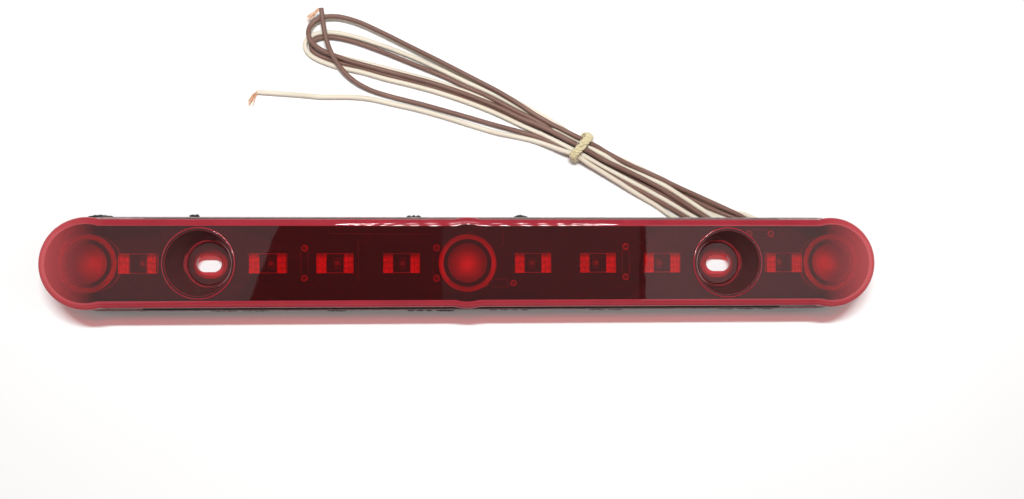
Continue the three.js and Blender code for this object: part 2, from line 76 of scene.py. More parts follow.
# Each lead's route in mm: from the grommet, under the lamp, out and back four times, to its bare end.
BROWN_ROUTE = [
    # out of the grommet and over the folds
    (171.6, 11.35, 5), (166, 11.8, 4.8), (158, 13.8, 4.1), (150, 16.6, 3.6), (143, 18.9, 3.4),
    (136, 20.6, 2.6), (130, 22.2, 1.5), (124, 24, 1.2),
    # to the far end, on the floor
    (108, 31.6, 1.2), (92.9, 38.6, 1.2), (75.4, 47.6, 2.4), (54, 55.9, 3.2), (36, 67.4, 2.8),
    (24, 72.8, 1.5), (11, 79.2, 1.2), (1.1, 84.1, 1.2), (-11.8, 90.2, 1.2), (-25.2, 95.4, 1.2),
    (-38.6, 100.8, 1.2), (-51.4, 105.5, 1.2), (-60.4, 108, 1.2), (-66.6, 108.9, 1.2), (-71.8, 108.3, 1.2),
    (-75.2, 106.6, 1.2), (-76.4, 104, 1.2), (-75.2, 101.2, 1.2), (-71.4, 99, 1.2), (-66, 97.4, 1.2),
    # back, and round the lower fold in the pocket
    (-61.6, 96, 1.2), (-50.8, 94.2, 1.2), (-38, 90.4, 1.2), (-28.4, 88.4, 1.2), (-15.9, 85.2, 1.2),
    (-2.5, 81, 1.2), (11, 76, 1.2), (19.8, 72, 1.2), (26.2, 69, 1.2), (36, 64.8, 1.2), (53.3, 54.4, 1.2),
    (74, 44.2, 1.2), (92.4, 35.6, 1.2), (104, 28.7, 1.2), (112.6, 23.6, 1.2), (120, 19.8, 1.2),
    (127, 17.2, 1.2), (134, 13.5, 1.2), (141, 8.2, 1.2), (146.5, 4.4, 1.2), (152, 3, 1.2), (157, 5, 1.2),
    (159, 10, 1.2), (157, 15, 1.2), (152, 16.8, 1.2), (146, 17, 1.2), (141, 18.6, 1.5), (136, 21.4, 2.6),
    (131, 23.8, 3.4),
    # the upper run to the far end and its loop
    (123.3, 27.2, 3.5), (103.7, 35.9, 3.5), (92.9, 40.8, 3.8), (74.4, 48.9, 5), (55.4, 58.5, 5.3),
    (35.2, 69.5, 4.9), (25.1, 76.5, 4), (14.5, 82.8, 3.5), (1.1, 89.5, 3.5), (-11.8, 96.1, 3.5),
    (-25.1, 102.6, 3.5), (-38.4, 109.2, 3.5), (-51.2, 115.3, 3.5), (-60.2, 118, 3.6), (-66.8, 118.4, 4.2),
    (-72.9, 116.4, 5), (-75.7, 113, 5.7), (-76.6, 109.7, 5.8), (-75.6, 105.9, 5.8), (-73.3, 103.2, 5.6),
    (-69.1, 100.9, 5), (-63.4, 99.1, 3.8),
    # back again, and round the upper fold
    (-55.9, 96.5, 3.3), (-42.6, 93.1, 3.2), (-29.4, 89.6, 3.2), (-16.5, 86.4, 3.2), (-3.2, 82, 3.2),
    (10.2, 77.2, 3.3), (18.8, 73.2, 3.6), (25.1, 69.9, 4.2), (35.2, 66.1, 5), (54, 55.8, 5.3),
    (74.4, 45.5, 5), (92.9, 37.2, 3.6), (104, 29.6, 3.5), (112.5, 23.8, 3.5), (120, 18.8, 3.5),
    (128, 16, 3.5), (136, 13.2, 3.5), (144, 11.4, 3.5), (148.9, 9.4, 3.5), (150.9, 4.5, 3.5),
    (148.9, -0.4, 3.5), (144, -2.4, 3.5), (138.5, 0.4, 3.5), (136, 6.2, 3.5), (131.5, 12, 3.5),
    (126, 15.2, 3.5), (120, 16.2, 3.4), (112, 18.8, 2.6), (104, 23.2, 1.2),
    # the free end
    (97, 27.6, 1.2), (89.6, 31.9, 1.2), (80.1, 36.6, 1.6), (69.8, 42.4, 1.8), (52.2, 52.4, 1.2),
    (36.6, 60.4, 1.2), (25.2, 63.6, 1.2), (14, 66.4, 1.2), (-2, 71, 1.2), (-22, 76.5, 1.2),
    (-36, 79.8, 1.2), (-46, 82.5, 2), (-53, 86, 4), (-58, 90, 5.6), (-62, 95, 6.2), (-65.5, 101.5, 6.2),
    (-67.5, 108, 5.4), (-68.5, 115, 6.2), (-69, 121, 6.2),
]
WHITE_ROUTE = [
    # out of the grommet
    (171.6, 8.65, 5), (166, 9.2, 5), (158, 11.4, 4.3), (150, 14.3, 3.6), (143, 16.6, 3.5), (136, 18.2, 3),
    (128, 20.6, 1.6), (121, 22.5, 1.2), (115, 25.2, 1.2),
    # to the far end
    (108, 28.8, 1.2), (92.9, 36.2, 1.2), (75, 46.6, 1.2), (54.3, 56.5, 1.2), (36, 69.4, 1.2),
    (24, 75.6, 1.2), (14.6, 80.8, 1.2), (1.1, 86.5, 1.2), (-11.8, 92.7, 1.2), (-25.2, 98.8, 1.2),
    (-38.6, 103.9, 1.2), (-51.4, 108.1, 1.2), (-60.4, 110.4, 1.2), (-69.4, 111.1, 1.2),
    (-75, 109.7, 1.2), (-78.2, 107.2, 1.2), (-79, 104.2, 1.2), (-78, 101.2, 1.2), (-75, 98.6, 1.2),
    (-69.4, 96.2, 1.2),
    # back, and round the lower fold in the pocket
    (-62.3, 93.8, 1.2), (-51.4, 92, 1.2), (-38.6, 88.2, 1.2), (-29, 86.2, 1.2), (-16.5, 83, 1.2),
    (-3.2, 78.8, 1.2), (10.2, 74, 1.2), (18.8, 70, 1.2), (25.1, 66.9, 1.4), (36, 62.2, 2.2),
    (52.8, 53.6, 3.2), (74.7, 41.9, 1.4), (92.6, 33, 1.2), (100, 28.2, 1.2), (108, 23.2, 1.2),
    (113, 20.6, 1.2), (120, 17.4, 1.2), (127, 14.9, 1.2), (134, 11.2, 1.2), (140, 5.8, 1.2), (146, 2, 1.2),
    (152, 0.7, 1.2), (158.6, 3.4, 1.2), (161.3, 10, 1.2), (158.6, 16.6, 1.2), (152, 19.1, 1.2),
    (146, 19.3, 1.2), (141, 20.6, 1.2), (136, 22.3, 1.2), (131, 23.8, 1.2),
    # to the far end again
    (123.3, 27, 1.2), (103.7, 35.6, 1.2), (92.9, 41, 1.2), (75.6, 49.4, 1.2), (55.4, 58.5, 1.2),
    (36.6, 70.3, 3.1), (25.1, 77, 2), (14.5, 83, 1.2), (1.1, 89.5, 1.2), (-11.8, 96.1, 1.2),
    (-25.1, 102.6, 1.2), (-38.4, 109.2, 1.2), (-51.2, 115.3, 1.2), (-60.2, 118, 1.3), (-66.8, 118.4, 1.9),
    (-72.9, 116.4, 2.7), (-75.7, 113, 3.4), (-76.6, 109.7, 3.5), (-75.6, 105.9, 3.5), (-73.3, 103.2, 3.3),
    (-69.1, 100.9, 2.6), (-63.4, 99.1, 1.5),
    # back again, and round the upper fold
    (-55.6, 97.4, 1.2), (-42.2, 94.4, 1.2), (-29, 90.9, 1.2), (-16, 87.7, 1.2), (-2.7, 83.3, 1.2),
    (10.7, 78.5, 1.2), (19.3, 74.6, 1.2), (25.6, 71.2, 1.4), (36.2, 67.4, 1.6), (55, 57.7, 3.2),
    (74.6, 46.2, 2.9), (92.9, 39, 3), (106, 30.6, 3.3), (117.5, 23.4, 3.5), (120, 21.8, 3.5),
    (128, 18.3, 3.5), (136, 15.5, 3.5), (144, 13.7, 3.5), (150.5, 11, 3.5), (153.2, 4.5, 3.5),
    (150.5, -2, 3.5), (144, -4.7, 3.5), (137.5, -1.6, 3.4), (135, 5, 2.8), (130.8, 10.6, 1.7),
    (125.5, 14.1, 1.2), (120, 15, 1.2), (112, 16.2, 1.2), (105, 18.8, 1.2), (98, 23, 1.2),
    # the free end
    (91.5, 28.2, 1.2), (84.9, 32.4, 1.4), (69.8, 41.2, 2.6), (51.8, 51.6, 3.1), (35.3, 58.6, 1.2),
    (25.2, 60.9, 1.2), (14, 62.8, 1.2), (0, 67, 1.2), (-12, 70.8, 1.2), (-25, 74.3, 1.2),
    (-38, 77, 1.2), (-46, 79, 1.2), (-53, 79.8, 1.2), (-62, 79.7, 1.2), (-70, 79.4, 1.2), (-78, 80.4, 1.2),
    (-92, 81.2, 1.2), (-99.5, 81.7, 1.2),
]


def resampled(line, step):
    """Evenly spaced points along a line, about step apart."""
    line = np.asarray(line, float)
    along = np.concatenate([[0], np.cumsum(np.linalg.norm(np.diff(line, axis=0), axis=1))])
    at = np.linspace(0, along[-1], max(2, round(along[-1] / step) + 1))
    return np.stack([np.interp(at, along, line[:, k]) for k in range(3)], axis=1)


# Where the tie acts on the leads, and the limits that their middles keep inside the lamp.
TIED_REACH, TIED_FLARE = 14, 0.03  # how far the bunch is held, and how it opens with distance
TIE_LIFT, TIE_LIFT_REACH, TIE_LIFT_FADE = 1.35, 25, 9
LAMP_EDGE_Y = 23
NOTCH_ROOF, NOTCH_Y, NOTCH_X = 3.75, 14.2, 88
POCKET_ROOF = 6
POCKET_X, POCKET_YS = 146, (-14.2, 19.3)
BOSS_CLEAR = 14.6


def keep_clear(p):
    """Keeps the leads above the floor, below the lamp's pocket roof and round the screw boss."""
    across = np.array([-TIE_RUN[1], TIE_RUN[0]])
    from_tie = p[:, :2] - np.array(TIE_AT)
    along = from_tie @ np.array(TIE_RUN)
    aside = from_tie @ across
    tied = np.abs(along) < TIED_REACH
    room = TIED_HALF + TIED_FLARE * along**2
    back = np.clip(aside, -room, room) - aside
    p[tied, :2] += back[tied, None] * across
    rise = TIE_LIFT * np.exp(-((along / TIE_LIFT_FADE) ** 2))
    lift = np.where(np.abs(along) < TIE_LIFT_REACH, rise, 0)
    p[:, 2] = np.maximum(p[:, 2], WIRE_R + lift)
    under = p[:, 1] < LAMP_EDGE_Y
    low = under & ((p[:, 1] > NOTCH_Y) | (p[:, 0] < NOTCH_X))
    p[low, 2] = np.minimum(p[low, 2], NOTCH_ROOF)
    p[under, 2] = np.minimum(p[under, 2], POCKET_ROOF)
    inner = under & (p[:, 0] > POCKET_X)
    p[inner, 1] = np.clip(p[inner, 1], *POCKET_YS)
    away = p[:, :2] - np.array([WELL_X, 0])
    far = np.linalg.norm(away, axis=1)
    hit = under & (far < BOSS_CLEAR)
    p[hit, :2] += away[hit] * (BOSS_CLEAR / far[hit] - 1)[:, None]


SETTLE_ROUNDS, PAIRS_EVERY = 240, 12
NEIGHBOURS = 5  # points of one lead that may be closer than the gap
CALM, LAST_CALM = 0.3, 0.1  # how strongly bends are evened out, and at the end
PULL_HOME, SINK = 0.04, 0.01


def settle(lines, gap):
    """Lets the leads lie against one another without passing through."""
    p = np.concatenate(lines)
    home = p.copy()
    line_of = np.concatenate([[k] * len(line) for k, line in enumerate(lines)])
    ends = np.flatnonzero(np.diff(line_of, prepend=-1, append=-1)[:-1] != 0)
    last = np.array([len(p) - 1 if e == ends[-1] else ends[1] - 1 for e in ends])
    fixed = np.zeros(len(p), bool)
    fixed[ends] = fixed[last] = True
    inside = np.flatnonzero(~fixed)
    index = np.arange(len(p))
    for turn in range(SETTLE_ROUNDS):
        if turn % PAIRS_EVERY == 0:
            d = np.linalg.norm(p[:, None] - p[None], axis=2)
            near = (d < 2 * gap) & (index[:, None] < index[None])
            near &= (line_of[:, None] != line_of[None]) | (np.abs(index[:, None] - index[None]) > NEIGHBOURS)
            a, b = np.nonzero(near)
        calm = CALM if turn < SETTLE_ROUNDS * 0.8 else LAST_CALM
        bend = p[inside - 1] + p[inside + 1] - 2 * p[inside]
        p[inside] += calm * bend
        p[inside, :2] += PULL_HOME * (home - p)[inside, :2]
        p[inside, 2] -= SINK
        for _ in range(3):
            apart = p[a] - p[b]
            dist = np.maximum(np.linalg.norm(apart, axis=1), 1e-6)
            push = apart * (np.maximum(gap - dist, 0) * 0.25 / dist)[:, None]
            shift = np.zeros_like(p)
            np.add.at(shift, a, push)
            np.add.at(shift, b, -push)
            p[inside] += shift[inside]
            keep_clear(p)
        p[fixed] = home[fixed]
    return [p[line_of == k] for k in range(len(lines))]


def rounded(line):
    """A line with a point put between each two, on the smooth curve through them."""
    before = np.concatenate([line[:1], line[:-2]])
    after = np.concatenate([line[2:], line[-1:]])
    middle = (9 * (line[:-1] + line[1:]) - before - after) / 16
    out = np.empty((2 * len(line) - 1, 3))
    out[::2] = line
    out[1::2] = middle
    return out


def tube(name, line, radius, material):
    """A round wire along a line given in mm, as a curve object."""
    data = bpy.data.curves.new(name, "CURVE")
    data.dimensions = "3D"
    data.bevel_depth = radius * MM
    data.bevel_resolution = 5
    data.use_fill_caps = True
    spline = data.splines.new("POLY")
    spline.points.add(len(line) - 1)
    spline.points.foreach_set("co", np.c_[np.asarray(line) * MM, np.ones(len(line))].ravel())
    spline.use_smooth = True
    obj = bpy.data.objects.new(name, data)
    data.materials.append(material)
    bpy.context.scene.collection.objects.link(obj)
    return obj


# ---- materials ----


class Paint:
    """One material, and short ways to add nodes to it."""

    def __init__(self, name):
        self.material = bpy.data.materials.new(name)
        self.material.use_nodes = True
        self.tree = self.material.node_tree
        self.tree.nodes.clear()
        self.output = self.tree.nodes.new("ShaderNodeOutputMaterial")
        self.place = self.node("TexCoord").outputs["Object"]

    def node(self, kind, inputs=None, **settings):
        made = self.tree.nodes.new("ShaderNode" + kind)
        for key, value in settings.items():
            setattr(made, key, value)
        for key, value in (inputs or {}).items():
            self.put(made.inputs[key], value)
        return made

    def put(self, socket, value):
        if isinstance(value, bpy.types.NodeSocket):
            self.tree.links.new(value, socket)
        else:
            socket.default_value = value

    def stretched(self, x, y, z):
        return self.node("Mapping", {"Vector": self.place, "Scale": (x, y, z)}).outputs[0]

    def noise(self, scale, detail=3.0, at=None):
        inputs = {"Vector": at or self.place, "Scale": scale, "Detail": detail}
        return self.node("TexNoise", inputs).outputs["Fac"]

    def math(self, operation, a, b=0.0):
        return self.node("Math", {0: a, 1: b}, operation=operation).outputs[0]

    def span(self, value, low, high, to_low=0.0, to_high=1.0):
        inputs = {"Value": value, "From Min": low, "From Max": high, "To Min": to_low, "To Max": to_high}
        return self.node("MapRange", inputs).outputs["Result"]

    def ramp(self, value, *stops):
        made = self.node("ValToRGB", {"Fac": value})
        elements = made.color_ramp.elements
        while len(elements) < len(stops):
            elements.new(0.5)
        for element, (at, colour) in zip(elements, stops):
            element.position = at
            element.color = (*colour, 1)
        return made.outputs["Color"]

    def mixed(self, factor, a, b):
        made = self.node("Mix", data_type="RGBA")
        self.put(made.inputs[0], factor)
        self.put(made.inputs[6], a)
        self.put(made.inputs[7], b)
        return made.outputs[2]

    def axis(self, name):
        return self.node("SeparateXYZ", {0: self.place}).outputs[name]

    def bump(self, height, strength, distance, under=None):
        inputs = {"Height": height, "Strength": strength, "Distance": distance}
        if under:
            inputs["Normal"] = under
        return self.node("Bump", inputs).outputs["Normal"]

    def surface(self, **inputs):
        named = {key.replace("_", " "): value for key, value in inputs.items()}
        return self.node("BsdfPrincipled", named).outputs[0]

    def done(self, shader):
        self.put(self.output.inputs["Surface"], shader)
        return self.material


PAINTED_END_HAZE = (0.60, 0.10, 0.11, 1)  # painted pale haze of light at the lens's two ends
END_X0, END_X1 = 160, 189  # mm, where it begins and is full
GLOW_R0, GLOW_R1 = 0.3, 8.6  # mm, where the glow painted in a round optic is full and where it ends


def red_plastic(name, veil, rough, body, body_rough=0.35, painted_glow=0.0, ends=0.0):
    """Clear red plastic with a veil of its own colour.

    The veil may grow into a painted glow at each round optic's middle, and into a painted pale haze of light
    at the lamp's two ends.
    """
    p = Paint(name)
    near_end = p.span(p.math("ABSOLUTE", p.axis("X")), END_X0 * MM, END_X1 * MM)
    # At the lamp's two ends the veil thickens: painted haze of light.
    if ends:
        veil = p.span(near_end, 0.2, 1, veil, ends)
    # A painted glow: the veil thickens to a bright milky red disc at each round optic's middle.
    if painted_glow:
        half = GLOW_SPACING * MM / 2
        across = p.node("Math", {0: p.axis("X"), 1: half, 2: -half}, operation="WRAP").outputs[0]
        squares = [p.math("POWER", side, 2.0) for side in (across, p.axis("Y"))]
        out = p.math("SQRT", p.math("ADD", *squares))
        veil = p.span(out, GLOW_R0 * MM, GLOW_R1 * MM, painted_glow, veil)
    waves = p.noise(60, 2)
    fine = p.noise(2500, 2)
    normal = p.bump(fine, 0.004, 0.00005, p.bump(waves, 0.04, 0.0006))
    roughness = p.span(p.noise(300, 4), 0.35, 0.75, rough, 1.3 * rough)
    tint = p.ramp(p.noise(25, 2), (0.3, (0.52, 0.022, 0.036)), (0.7, (0.58, 0.030, 0.048)))
    glass = p.surface(Base_Color=tint, Roughness=roughness, Normal=normal, IOR=1.49,
                      Transmission_Weight=1.0, Specular_IOR_Level=0.5)
    deep = tuple(0.85 * c for c in body)
    milky = p.ramp(p.noise(90, 3), (0.3, deep), (0.7, body))
    # Near the ends the milky body pales to pink: painted haze of light.
    milk = p.surface(Base_Color=p.mixed(p.math("MULTIPLY", near_end, 0.8), milky, PAINTED_END_HAZE),
                     Roughness=body_rough, Normal=normal)
    shown = p.node("MixShader", {0: veil, 1: glass, 2: milk}).outputs[0]
    shadow = p.node("BsdfTransparent", {"Color": tint}).outputs[0]
    is_shadow = p.node("LightPath").outputs["Is Shadow Ray"]
    return p.done(p.node("MixShader", {0: is_shadow, 1: shown, 2: shadow}).outputs[0])


RIM_Y0, RIM_Y1, RIM_Z0, RIM_Z1 = 20.4, 20.9, 5.3, 6.0  # mm, where the painted reflection on the flange's outer edge begins


def black_plastic():
    """Glossy black, with a painted pinkish reflection on the flange's upper outer edge."""
    p = Paint("black_plastic")
    grain = p.noise(1500, 4)
    sink = p.noise(70, 2)
    normal = p.bump(grain, 0.05, 0.0001, p.bump(sink, 0.25, 0.0006))
    dust = p.span(p.noise(220, 6), 0.55, 0.8)
    black = p.mixed(dust, (0.030, 0.028, 0.028, 1), (0.070, 0.064, 0.062, 1))
    # Painted reflection: a pale pinkish band on the flange's upper outer edge, tinged by the lens's red
    # light.
    painted_reflection = p.ramp(p.noise(400, 4), (0.3, (0.22, 0.155, 0.15)), (0.7, (0.36, 0.27, 0.26)))
    outside = p.span(p.math("ABSOLUTE", p.axis("Y")), RIM_Y0 * MM, RIM_Y1 * MM)
    on_edge = p.math("MULTIPLY", outside, p.span(p.axis("Z"), RIM_Z0 * MM, RIM_Z1 * MM))
    colour = p.mixed(on_edge, black, painted_reflection)
    rough = p.math("ADD", p.span(grain, 0.2, 0.8, 0.14, 0.24), p.math("MULTIPLY", dust, 0.12))
    return p.done(p.surface(Base_Color=colour, Roughness=rough, Normal=normal, IOR=1.52))


def sealant():
    """Satin black sealant with a lumpy skin."""
    p = Paint("sealant")
    lumps = p.noise(600, 5)
    colour = p.ramp(lumps, (0.3, (0.012, 0.012, 0.012)), (0.75, (0.040, 0.037, 0.035)))
    rough = p.span(p.noise(900, 3), 0.3, 0.7, 0.28, 0.6)
    return p.done(p.surface(Base_Color=colour, Roughness=rough, Normal=p.bump(lumps, 0.6, 0.0004)))


def solder_mask():
    """A circuit board under dark mask, with tracks that stand slightly proud."""
    p = Paint("solder_mask")
    layout = {"Vector": p.stretched(1, 1, 0), "Scale": 120.0, "Mortar Size": 0.035, "Brick Width": 1.9,
              "Row Height": 0.42}
    tracks = p.node("TexBrick", layout, offset=0.37, squash=1.6).outputs["Fac"]
    colour = p.mixed(tracks, (0.006, 0.008, 0.006, 1), (0.014, 0.018, 0.014, 1))
    mottled = p.mixed(p.span(p.noise(350, 5), 0.45, 0.8, 0, 0.4), colour, (0.034, 0.032, 0.026, 1))
    rough = p.span(p.noise(700, 3), 0.3, 0.7, 0.48, 0.62)
    return p.done(p.surface(Base_Color=mottled, Roughness=rough, Normal=p.bump(tracks, 0.35, 0.00006),
                            Specular_IOR_Level=0.2))


def board_ink():
    """Worn grey print."""
    p = Paint("board_ink")
    worn = p.noise(2200, 4)
    colour = p.ramp(worn, (0.35, (0.12, 0.12, 0.11)), (0.65, (0.24, 0.235, 0.22)))
    return p.done(p.surface(Base_Color=colour, Roughness=p.span(worn, 0.3, 0.7, 0.45, 0.7)))


def tinned_pad():
    """Dull, grainy solder."""
    p = Paint("tinned_pad")
    grain = p.noise(1600, 4)
    colour = p.ramp(grain, (0.3, (0.50, 0.49, 0.46)), (0.7, (0.74, 0.73, 0.70)))
    return p.done(p.surface(Base_Color=colour, Metallic=0.3, Roughness=p.span(grain, 0.3, 0.7, 0.45, 0.65),
                            Normal=p.bump(grain, 0.3, 0.0001)))


DOME_Z0, DOME_Z1 = 14.6, 15.2  # mm, where an LED's package ends and its dome begins


def led_package():
    """A milky dome on a pale package."""
    p = Paint("led_package")
    cloud = p.noise(900, 3)
    dome = p.span(p.axis("Z"), DOME_Z0 * MM, DOME_Z1 * MM)
    silicone = p.ramp(cloud, (0.3, (0.42, 0.38, 0.28)), (0.7, (0.55, 0.50, 0.40)))
    colour = p.mixed(dome, (0.12, 0.11, 0.09, 1), silicone)
    rough = p.span(cloud, 0.3, 0.7, 0.08, 0.2)
    return p.done(p.surface(Base_Color=colour, Roughness=rough, Normal=p.bump(cloud, 0.05, 0.0001), IOR=1.5,
                            Coat_Weight=0.6, Coat_Roughness=0.05))


LEG_Z0, LEG_Z1 = 12.2, 12.3  # mm, above this an axial part is solder and tinned leg


def axial_part(name, body, bands, along):
    """A coated part with printed bands. Its legs and what stands above the board are tinned."""
    p = Paint(name)
    fine = p.noise(1800, 3)
    stripes = p.node("TexWave", {"Vector": p.place, "Scale": 260.0, "Distortion": 0.3},
                     bands_direction=along).outputs["Fac"]
    coat = p.mixed(p.span(stripes, 0.72, 0.78), body, bands)
    metal = p.span(p.axis("Z"), LEG_Z0 * MM, LEG_Z1 * MM)
    colour = p.mixed(metal, coat, p.ramp(fine, (0.3, (0.52, 0.51, 0.48)), (0.7, (0.72, 0.71, 0.68))))
    rough = p.span(fine, 0.3, 0.7, 0.22, 0.42)
    return p.done(p.surface(Base_Color=colour, Metallic=metal, Roughness=rough,
                            Normal=p.bump(fine, 0.2, 0.0001)))


def rubber():
    """Matt black rubber."""
    p = Paint("rubber")
    fine = p.noise(1200, 5)
    colour = p.ramp(fine, (0.3, (0.018, 0.018, 0.018)), (0.7, (0.045, 0.043, 0.041)))
    return p.done(p.surface(Base_Color=colour, Roughness=p.span(fine, 0.2, 0.8, 0.6, 0.85),
                            Normal=p.bump(fine, 0.3, 0.0002)))


def insulation(name, deep, pale):
    """Soft PVC round a wire: a satin skin with faint lay marks and scuffs."""
    p = Paint(name)
    scuffs = p.span(p.noise(500, 6), 0.52, 0.78)
    marks = p.noise(2600, 3)
    colour = p.mixed(p.span(p.noise(45, 2), 0.35, 0.7), (*deep, 1), (*pale, 1))
    rough = p.math("ADD", p.span(marks, 0.3, 0.7, 0.30, 0.40), p.math("MULTIPLY", scuffs, 0.2))
    return p.done(p.surface(Base_Color=colour, Roughness=rough, Normal=p.bump(marks, 0.15, 0.0001),
                            Subsurface_Weight=0.12, Subsurface_Scale=0.0008, IOR=1.5))


def paper_string():
    """Twisted paper with coarse fibres."""
    p = Paint("paper_string")
    fibres = p.noise(900, 6, at=p.stretched(1, 3.5, 1))
    colour = p.ramp(fibres, (0.25, (0.42, 0.34, 0.16)), (0.5, (0.68, 0.60, 0.36)),
                    (0.75, (0.82, 0.76, 0.54)))
    return p.done(p.surface(Base_Color=colour, Roughness=p.span(fibres, 0.2, 0.8, 0.75, 0.95),
                            Normal=p.bump(fibres, 0.8, 0.0004), Sheen_Weight=0.3))


def copper():
    """Bright drawn copper."""
    p = Paint("copper")
    drawn = p.noise(3000, 3)
    colour = p.ramp(p.noise(500, 4), (0.3, (0.90, 0.52, 0.32)), (0.7, (0.98, 0.70, 0.48)))
    return p.done(p.surface(Base_Color=colour, Metallic=0.35, Roughness=p.span(drawn, 0.3, 0.7, 0.22, 0.42),
                            Normal=p.bump(drawn, 0.2, 0.00005)))


def pale_floor():
    """Plain, nearly white paper."""
    p = Paint("pale_floor")
    soft = p.noise(6, 3)
    colour = p.ramp(soft, (0.3, (0.88, 0.88, 0.88)), (0.7, (0.90, 0.90, 0.90)))
    return p.done(p.surface(Base_Color=colour, Roughness=p.span(p.noise(300, 3), 0.3, 0.7, 0.75, 0.9),
                            Specular_IOR_Level=0.2))


# ---- geometry ----


def mesh_object(name, points, faces, materials, slots=None):
    """A mesh object from points in mm."""
    mesh = bpy.data.meshes.new(name)
    mesh.from_pydata([Vector(p) * MM for p in points], [], faces)
    for material in materials:
        mesh.materials.append(material)
    if slots is not None:
        mesh.polygons.foreach_set("material_index", slots)
    mesh.update()
    obj = bpy.data.objects.new(name, mesh)
    bpy.context.scene.collection.objects.link(obj)
    return obj


class Build:
    """Points and faces of several bodies, gathered for one mesh."""

    def __init__(self):
        self.points, self.faces, self.slots = [], [], []

    def strip(self, rings, slots=None, closed=False):
        """Joins rings of equally many points. An open strip gets a flat face at each end."""
        n, base = len(rings[0]), len(self.points)
        for ring in rings:
            self.points.extend(ring)
        count = len(rings) if closed else len(rings) - 1
        for k in range(count):
            a, b = base + k * n, base + ((k + 1) % len(rings)) * n
            for i in range(n):
                j = (i + 1) % n
                self.faces.append((a + i, a + j, b + j, b + i))
                self.slots.append(slots[k] if slots else 0)
        if not closed:
            self.faces.append(tuple(base + i for i in reversed(range(n))))
            self.faces.append(tuple(base + (len(rings) - 1) * n + i for i in range(n)))
            self.slots.extend([slots[0], slots[-1]] if slots else [0, 0])
        return self

    def turned(self, profile, x=0.0, y=0.0, segments=72, slots=None, closed=False):
        """A turned body from (radius, z) points that go up its outside. Its ends are flat."""
        rings = []
        for r, z in profile:
            steps = [2 * math.pi * i / segments for i in range(segments)]
            rings.append([(x + r * math.cos(a), y + r * math.sin(a), z) for a in steps])
        return self.strip(rings, slots, closed)

    def upright(self, outline, z0, z1):
        return self.strip([[(x, y, z) for x, y in outline] for z in (z0, z1)])

    def block(self, x0, x1, y0, y1, z0, z1):
        return self.upright([(x0, y0), (x1, y0), (x1, y1), (x0, y1)], z0, z1)

    def sweep(self, line, radius, sides=10, closed=False):
        """A tube along a line. radius is a number, or a function of how far along it is and round it."""
        line = np.asarray(line, float)
        count = len(line)
        ahead = np.roll(line, -1, 0) - np.roll(line, 1, 0)
        if not closed:
            ahead[0], ahead[-1] = line[1] - line[0], line[-1] - line[-2]
        side = None
        rings = []
        for k in range(count):
            t = Vector(ahead[k]).normalized()
            side = (side or t.orthogonal()) - t * (side or t.orthogonal()).dot(t)
            side.normalize()
            up = t.cross(side)
            ring = []
            for i in range(sides):
                a = 2 * math.pi * i / sides
                r = radius(k / (count - 1), a) if callable(radius) else radius
                ring.append(tuple(Vector(line[k]) + (side * math.cos(a) + up * math.sin(a)) * r))
            rings.append(ring)
        return self.strip(rings, closed=closed)

    def object(self, name, *materials, smooth=40):
        obj = mesh_object(name, self.points, self.faces, materials, self.slots)
        shade(obj, smooth)
        return obj


def shade(obj, angle):
    """Smooth faces, with edges kept sharp where they turn by more than angle."""
    obj.data.polygons.foreach_set("use_smooth", [True] * len(obj.data.polygons))
    obj.data.set_sharp_from_angle(angle=math.radians(angle))


def combine(target, other, operation):
    """Joins other to target, or cuts it away, and removes it."""
    modifier = target.modifiers.new("combine", "BOOLEAN")
    modifier.operation = operation
    modifier.solver = "MANIFOLD"
    modifier.object = other
    bpy.context.view_layer.update()
    made = bpy.data.meshes.new_from_object(target.evaluated_get(bpy.context.evaluated_depsgraph_get()))
    target.modifiers.clear()
    target.data = made
    bpy.data.objects.remove(other)


def arc(x, r, start, end, steps):
    """Points on a circle round (x, 0)."""
    angles = [start + (end - start) * i / steps for i in range(steps + 1)]
    return [(x + r * math.cos(a), r * math.sin(a)) for a in angles]


DRUM_R = 20.85
BAR_HALF = 20.05
DRUM_XS = (-DRUM_SPACING, 0, DRUM_SPACING)
WELL_XS = (-WELL_X, WELL_X)
OPTIC_XS = (-147.5, -90, -60, -30, 30, 60, 90, 147.5)


def bar_outline(offset, end_steps=48, bulge_steps=10):
    """The lamp's outline: a bar with three drums, all moved out by offset."""
    r = DRUM_R + offset
    a = math.asin((BAR_HALF + offset) / r)
    turn = 2 * math.pi
    return (
        arc(-DRUM_SPACING, r, a, turn - a, end_steps)
        + arc(0, r, math.pi + a, turn - a, bulge_steps)
        + arc(DRUM_SPACING, r, a - math.pi, math.pi - a, end_steps)
        + arc(0, r, a, math.pi - a, bulge_steps)
    )


def stadium(length, width, x=0.0, steps=16):
    """An outline with two straight sides along X and round ends."""
    r, c = width / 2, length / 2 - width / 2
    right = arc(x + c, r, -math.pi / 2, math.pi / 2, steps)
    left = arc(x - c, r, math.pi / 2, 1.5 * math.pi, steps)
    return right + left


# ---- lens ----

FRONT_Z = 26.5
INNER_Z = 24.0
OPTIC_TOP = 24.6  # the optics end inside the lens's front wall
CLEAR, FROST, EDGE, HAZE, SMOKE = range(5)  # the lens's material slots

# The shell's section as (distance out, z), from the middle of its inside to where the round edge begins.
SHELL_INSIDE = [(-3.3, INNER_Z), (-2.7, 23.8), (-2.4, 23.2), (-2.4, 7.1), (-0.15, 7.1), (0, 7.25)]
EDGE_IN, EDGE_DOWN, EDGE_STEPS = 3.2, 1.8, 10
